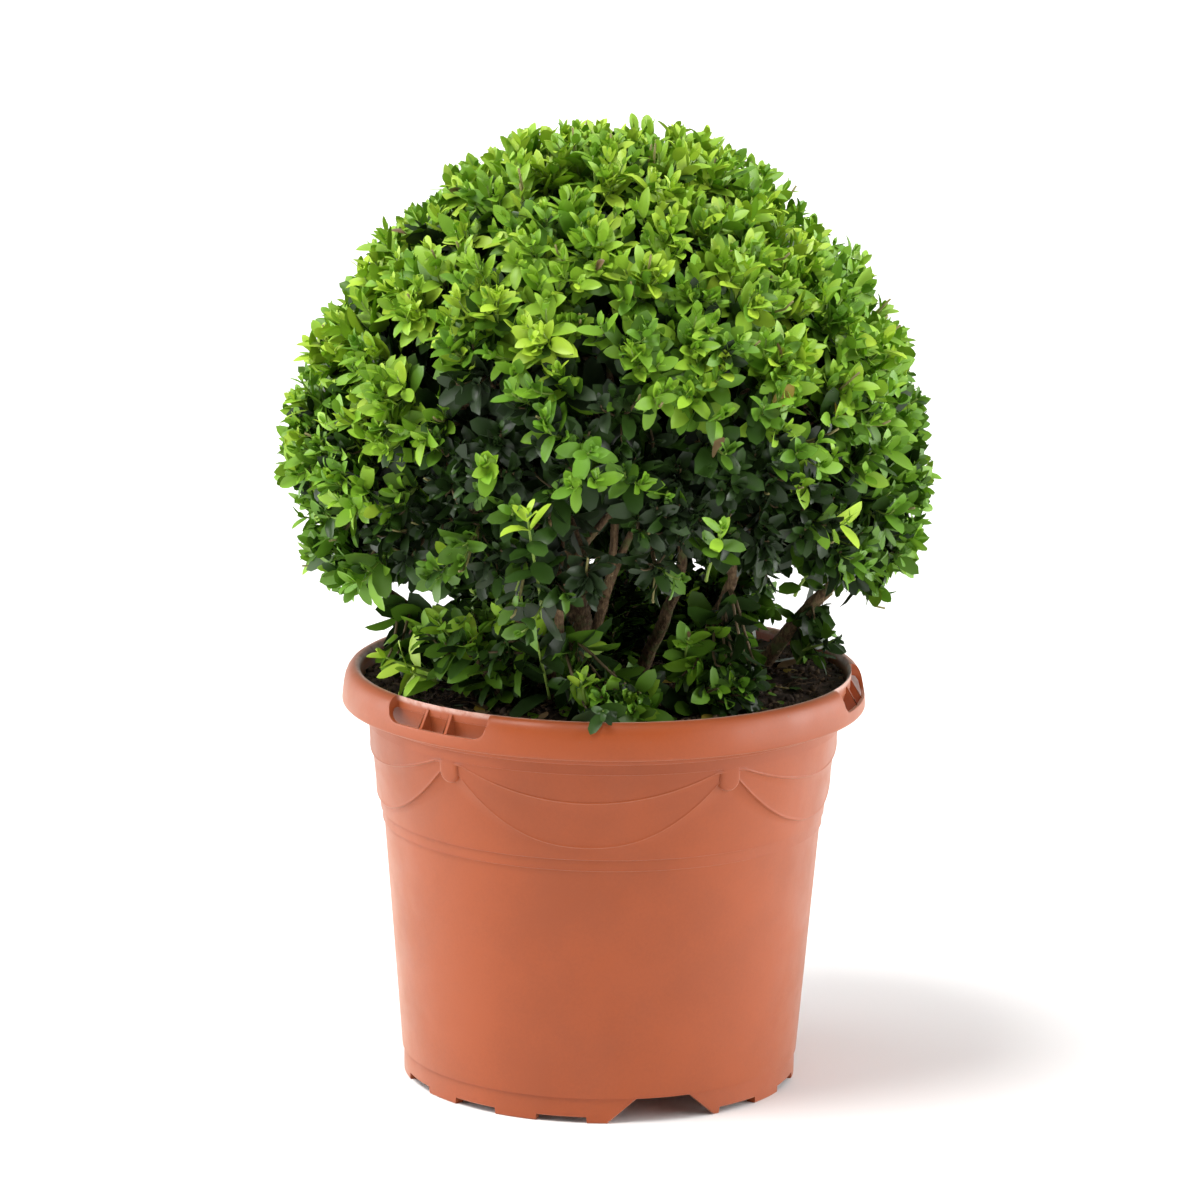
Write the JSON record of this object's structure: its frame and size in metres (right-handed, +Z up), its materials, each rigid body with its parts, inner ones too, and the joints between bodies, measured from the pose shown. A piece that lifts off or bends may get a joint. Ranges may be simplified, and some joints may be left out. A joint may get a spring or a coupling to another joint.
{
  "type": "potted box topiary ball",
  "caption": "Clipped ball of small-leaved box on a fan of short woody stems, in a round terracotta-coloured plastic pot with a hanging collar, handle pockets and a footed base.",
  "frame": {"origin": "On the pot's axis at the level it stands on, which is the centre of the box's bottom face", "axes": "+Z up, the longest extent. The front, with the largest drain cut-out in view, is towards -Y, and +X is to the right as seen from the front"},
  "size_m": [0.306, 0.306, 0.443],
  "materials": {
    "pot_plastic": "satin",
    "compost": "matte",
    "bark": "matte",
    "clipped_leaves": "satin",
    "old_leaves": "satin"
  },
  "bodies": {
    "root": {"pot": "pot_plastic", "soil": "compost", "trunk": "bark", "bough_right": "bark", "bough_stub": "bark", "bough_front_right": "bark", "bough_centre": "bark", "bough_front": "bark", "bough_front_left": "bark", "bough_left": "bark", "bough_back_left": "bark", "bough_back": "bark", "bough_back_right": "bark", "foliage_low_front_left": "old_leaves", "foliage_low_front": "old_leaves", "foliage_low_right": "old_leaves", "foliage_low_far_right": "old_leaves", "foliage_low_left": "old_leaves", "foliage_low_back_left": "old_leaves", "foliage_low_back_right": "old_leaves", "foliage_ball": "clipped_leaves"}
  },
  "joints": []
}
